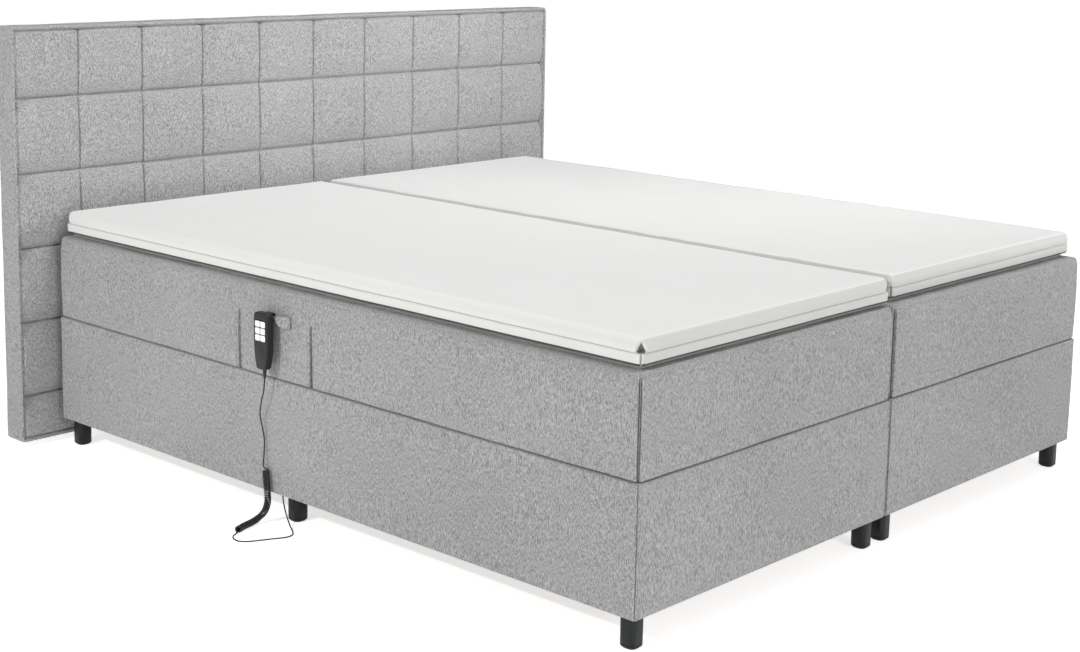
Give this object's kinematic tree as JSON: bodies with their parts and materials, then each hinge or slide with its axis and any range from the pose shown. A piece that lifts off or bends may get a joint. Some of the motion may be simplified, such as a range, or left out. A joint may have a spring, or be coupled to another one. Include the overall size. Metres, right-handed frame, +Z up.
{
  "type": "adjustable bed base",
  "caption": "Two-sleeper motorised box-spring bed base with a tufted headboard, lifting back and leg sections, toppers, drives and a corded handset.",
  "frame": {"origin": "on the floor, midway across the bed and midway between its foot end and the back of the headboard", "axes": "+Y towards the head end, +Z up, +X to the right-hand half as seen from the foot end; the handset hangs at -X"},
  "size_m": [2.0554, 2.096, 1.118],
  "materials": {
    "grey_fabric": "matte",
    "white_jersey": "matte",
    "black_plastic": "satin",
    "white_key": "satin",
    "black_steel": "satin",
    "bright_steel": "satin",
    "pine": "matte",
    "plywood": "matte"
  },
  "bodies": {
    "base": {"control_box": "black_plastic", "floor_cord": "black_plastic", "handset_back_shell": "black_plastic", "handset_front_shell": "black_plastic", "handset_lead": "black_plastic", "handset_strain_relief": "black_plastic", "handset_strap": "grey_fabric", "headboard_bracket_left": "black_steel", "headboard_bracket_right": "black_steel", "headboard_core": "pine", "headboard_cover": "grey_fabric", "left_back_drive": "black_plastic", "left_drive_rack": "black_steel", "left_foot_inner_foot": "black_plastic", "left_foot_outer_foot": "black_plastic", "left_head_inner_foot": "black_plastic", "left_head_outer_foot": "black_plastic", "left_leg_drive": "black_plastic", "left_mid_outer_foot": "black_plastic", "left_plinth_cover": "grey_fabric", "left_plinth_frame": "pine", "left_seat_deck": "plywood", "left_seat_pad": "grey_fabric", "left_seat_topper": "white_jersey", "right_back_drive": "black_plastic", "right_drive_rack": "black_steel", "right_foot_inner_foot": "black_plastic", "right_foot_outer_foot": "black_plastic", "right_head_inner_foot": "black_plastic", "right_head_outer_foot": "black_plastic", "right_leg_drive": "black_plastic", "right_mid_outer_foot": "black_plastic", "right_plinth_cover": "grey_fabric", "right_plinth_frame": "pine", "right_seat_deck": "plywood", "right_seat_pad": "grey_fabric", "right_seat_topper": "white_jersey", "spiral_cord": "black_plastic"},
    "left_back_section": {"left_back_deck": "plywood", "left_back_pad": "grey_fabric", "left_back_topper": "white_jersey"},
    "left_back_rod_body": {"left_back_rod": "bright_steel"},
    "left_leg_section": {"left_leg_deck": "plywood", "left_leg_pad": "grey_fabric", "left_leg_topper": "white_jersey"},
    "left_leg_rod_body": {"left_leg_rod": "bright_steel"},
    "right_back_section": {"right_back_deck": "plywood", "right_back_pad": "grey_fabric", "right_back_topper": "white_jersey"},
    "right_back_rod_body": {"right_back_rod": "bright_steel"},
    "right_leg_section": {"right_leg_deck": "plywood", "right_leg_pad": "grey_fabric", "right_leg_topper": "white_jersey"},
    "right_leg_rod_body": {"right_leg_rod": "bright_steel"},
    "key_back_up_body": {"key_back_up": "white_key"},
    "key_back_down_body": {"key_back_down": "white_key"},
    "key_leg_up_body": {"key_leg_up": "white_key"},
    "key_leg_down_body": {"key_leg_down": "white_key"},
    "key_both_up_body": {"key_both_up": "white_key"},
    "key_both_down_body": {"key_both_down": "white_key"}
  },
  "joints": [
    {"name": "left_back_lift", "type": "hinge", "parent": "base", "child": "left_back_section", "pos_m": [-0.45075, 0.1826, 0.495], "axis": [1, 0, 0], "range_deg": [0, 55]},
    {"name": "left_back_stroke", "type": "slide", "parent": "base", "child": "left_back_rod_body", "axis": [0, 1, 0], "range_m": [0, 0.20304]},
    {"name": "left_leg_lift", "type": "hinge", "parent": "base", "child": "left_leg_section", "pos_m": [-0.45075, -0.0766, 0.495], "axis": [-1, 0, 0], "range_deg": [0, 30]},
    {"name": "left_leg_stroke", "type": "slide", "parent": "base", "child": "left_leg_rod_body", "axis": [0, -1, 0], "range_m": [0, 0.10452]},
    {"name": "right_back_lift", "type": "hinge", "parent": "base", "child": "right_back_section", "pos_m": [0.45075, 0.1826, 0.495], "axis": [1, 0, 0], "range_deg": [0, 55]},
    {"name": "right_back_stroke", "type": "slide", "parent": "base", "child": "right_back_rod_body", "axis": [0, 1, 0], "range_m": [0, 0.20304]},
    {"name": "right_leg_lift", "type": "hinge", "parent": "base", "child": "right_leg_section", "pos_m": [0.45075, -0.0766, 0.495], "axis": [-1, 0, 0], "range_deg": [0, 30]},
    {"name": "right_leg_stroke", "type": "slide", "parent": "base", "child": "right_leg_rod_body", "axis": [0, -1, 0], "range_m": [0, 0.10452]},
    {"name": "key_back_up_press", "type": "slide", "parent": "base", "child": "key_back_up_body", "axis": [1, 0, 0], "range_m": [0, 0.0012], "stiffness_N_per_m": 200},
    {"name": "key_back_down_press", "type": "slide", "parent": "base", "child": "key_back_down_body", "axis": [1, 0, 0], "range_m": [0, 0.0012], "stiffness_N_per_m": 200},
    {"name": "key_leg_up_press", "type": "slide", "parent": "base", "child": "key_leg_up_body", "axis": [1, 0, 0], "range_m": [0, 0.0012], "stiffness_N_per_m": 200},
    {"name": "key_leg_down_press", "type": "slide", "parent": "base", "child": "key_leg_down_body", "axis": [1, 0, 0], "range_m": [0, 0.0012], "stiffness_N_per_m": 200},
    {"name": "key_both_up_press", "type": "slide", "parent": "base", "child": "key_both_up_body", "axis": [1, 0, 0], "range_m": [0, 0.0012], "stiffness_N_per_m": 200},
    {"name": "key_both_down_press", "type": "slide", "parent": "base", "child": "key_both_down_body", "axis": [1, 0, 0], "range_m": [0, 0.0012], "stiffness_N_per_m": 200}
  ],
  "couplings": [
    {"joint": "left_back_stroke", "follows": "left_back_lift", "m_per_rad": 0.2115},
    {"joint": "left_leg_stroke", "follows": "left_leg_lift", "m_per_rad": 0.19958},
    {"joint": "right_back_stroke", "follows": "right_back_lift", "m_per_rad": 0.2115},
    {"joint": "right_leg_stroke", "follows": "right_leg_lift", "m_per_rad": 0.19958}
  ]
}
